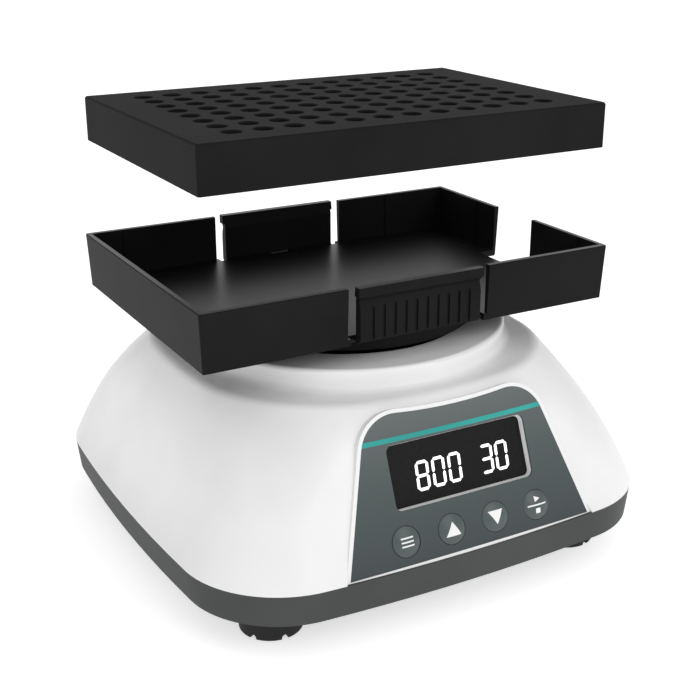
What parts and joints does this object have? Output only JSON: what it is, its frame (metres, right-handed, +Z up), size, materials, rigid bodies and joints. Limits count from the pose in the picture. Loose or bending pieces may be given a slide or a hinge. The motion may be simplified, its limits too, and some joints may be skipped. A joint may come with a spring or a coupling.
{
  "type": "microplate shaker",
  "caption": "Orbital microplate shaker: rounded casing on feet, sloped panel with display and keys, orbiting tray with plate clips, and a drilled tube block lifted off the tray.",
  "frame": {"origin": "on the bench, below the middle of the casing", "axes": "+Z up, the sloped key panel faces -Y, +X to the right seen from the front"},
  "size_m": [0.1502, 0.1502, 0.1328],
  "materials": {
    "skirt": "fine textured dark grey moulding",
    "shell": "smooth white moulding",
    "panel": "printed grey-green panel sheet with a teal stripe",
    "key": "domed keys with plain white marks",
    "lens": "smoked window",
    "display": "dark display glass",
    "board": "green circuit board",
    "parts": "moulded chips and sockets",
    "steel": "zinc plated steel",
    "pin": "blackened steel pins",
    "bearing": "ground bearing steel",
    "deck": "machined aluminium",
    "weight": "turned brass weight",
    "stator": "laminated stator iron",
    "drive": "black anodised aluminium",
    "tray": "dark textured moulding",
    "clip": "dark moulding with ribbed grip",
    "foot": "black rubber",
    "block": "hard anodised dark grey",
    "wire": "insulated wire",
    "socket": "black socket"
  },
  "bodies": {
    "base": {"base_casing": "skirt", "top_shell": "shell", "panel_overlay": "panel", "display_window": "lens", "display_module": "display", "key_board": "board", "key_switches": "parts", "key_board_screws": "steel", "deck_posts": "steel", "deck_plate": "deck", "motor_can": "steel", "motor_end_cap": "steel", "motor_stator": "stator", "main_board": "board", "board_parts": "parts", "board_screws": "steel", "power_jack": "socket", "jack_nut": "steel", "panel_ribbon": "wire", "motor_cable": "wire", "jack_cable": "wire", "idler_bearings": "bearing", "foot_front_left": "foot", "foot_front_right": "foot", "foot_rear_right": "foot", "foot_rear_left": "foot", "foot_screws": "steel", "casing_screws": "steel", "post_screws": "steel", "deck_screws": "steel", "motor_screws": "steel"},
    "rotor": {"motor_shaft": "steel", "motor_rotor": "stator", "eccentric_hub": "steel", "counterweight": "weight", "counterweight_screws": "steel", "hub_set_screw": "steel", "crank_clip": "steel"},
    "platform": {"drive_plate": "drive", "crank_bearing": "bearing", "platform_bearings": "bearing", "tray": "tray", "tray_screws": "steel", "clip_pins": "pin", "clip_springs": "steel"},
    "front_clip": {"front_clip": "clip"},
    "rear_clip": {"rear_clip": "clip"},
    "tube_block": {"tube_block": "block"},
    "idler_1": {"idler_crank_1": "steel", "idler_clip_1": "steel"},
    "idler_2": {"idler_crank_2": "steel", "idler_clip_2": "steel"},
    "idler_3": {"idler_crank_3": "steel", "idler_clip_3": "steel"},
    "key_menu": {"key_menu": "key"},
    "key_up": {"key_up": "key"},
    "key_down": {"key_down": "key"},
    "key_start": {"key_start": "key"}
  },
  "joints": [
    {"name": "motor_spin", "type": "hinge", "parent": "base", "child": "rotor", "pos_m": [0, 0, 0.045], "axis": [0, 0, 1], "continuous": true},
    {"name": "platform_orbit", "type": "hinge", "parent": "rotor", "child": "platform", "pos_m": [0.00075, 0.0013, 0.0598], "axis": [0, 0, 1], "continuous": true},
    {"name": "idler_spin_1", "type": "hinge", "parent": "base", "child": "idler_1", "pos_m": [0, 0.028, 0.039], "axis": [0, 0, 1], "continuous": true},
    {"name": "idler_spin_2", "type": "hinge", "parent": "base", "child": "idler_2", "pos_m": [-0.02425, -0.014, 0.039], "axis": [0, 0, 1], "continuous": true},
    {"name": "idler_spin_3", "type": "hinge", "parent": "base", "child": "idler_3", "pos_m": [0.02425, -0.014, 0.039], "axis": [0, 0, 1], "continuous": true},
    {"name": "front_clip_hinge", "type": "hinge", "parent": "platform", "child": "front_clip", "pos_m": [0.00075, -0.0419, 0.0749], "axis": [1, 0, 0], "range_deg": [0, 10], "stiffness_Nm_per_rad": 0.1},
    {"name": "rear_clip_hinge", "type": "hinge", "parent": "platform", "child": "rear_clip", "pos_m": [0.00075, 0.0445, 0.0749], "axis": [-1, 0, 0], "range_deg": [0, 10], "stiffness_Nm_per_rad": 0.1},
    {"name": "menu_key_press", "type": "slide", "parent": "base", "child": "key_menu", "axis": [0, 0.9272, -0.3746], "range_m": [0, 0.0005], "stiffness_N_per_m": 800},
    {"name": "up_key_press", "type": "slide", "parent": "base", "child": "key_up", "axis": [0, 0.9272, -0.3746], "range_m": [0, 0.0005], "stiffness_N_per_m": 800},
    {"name": "down_key_press", "type": "slide", "parent": "base", "child": "key_down", "axis": [0, 0.9272, -0.3746], "range_m": [0, 0.0005], "stiffness_N_per_m": 800},
    {"name": "start_key_press", "type": "slide", "parent": "base", "child": "key_start", "axis": [0, 0.9272, -0.3746], "range_m": [0, 0.0005], "stiffness_N_per_m": 800},
    {"name": "block_lift", "type": "slide", "parent": "platform", "child": "tube_block", "axis": [0, 0, 1], "range_m": [-0.0437, 0]}
  ],
  "couplings": [
    {"joint": "platform_orbit", "follows": "motor_spin", "ratio": -1},
    {"joint": "idler_spin_1", "follows": "motor_spin", "ratio": 1},
    {"joint": "idler_spin_2", "follows": "motor_spin", "ratio": 1},
    {"joint": "idler_spin_3", "follows": "motor_spin", "ratio": 1}
  ]
}
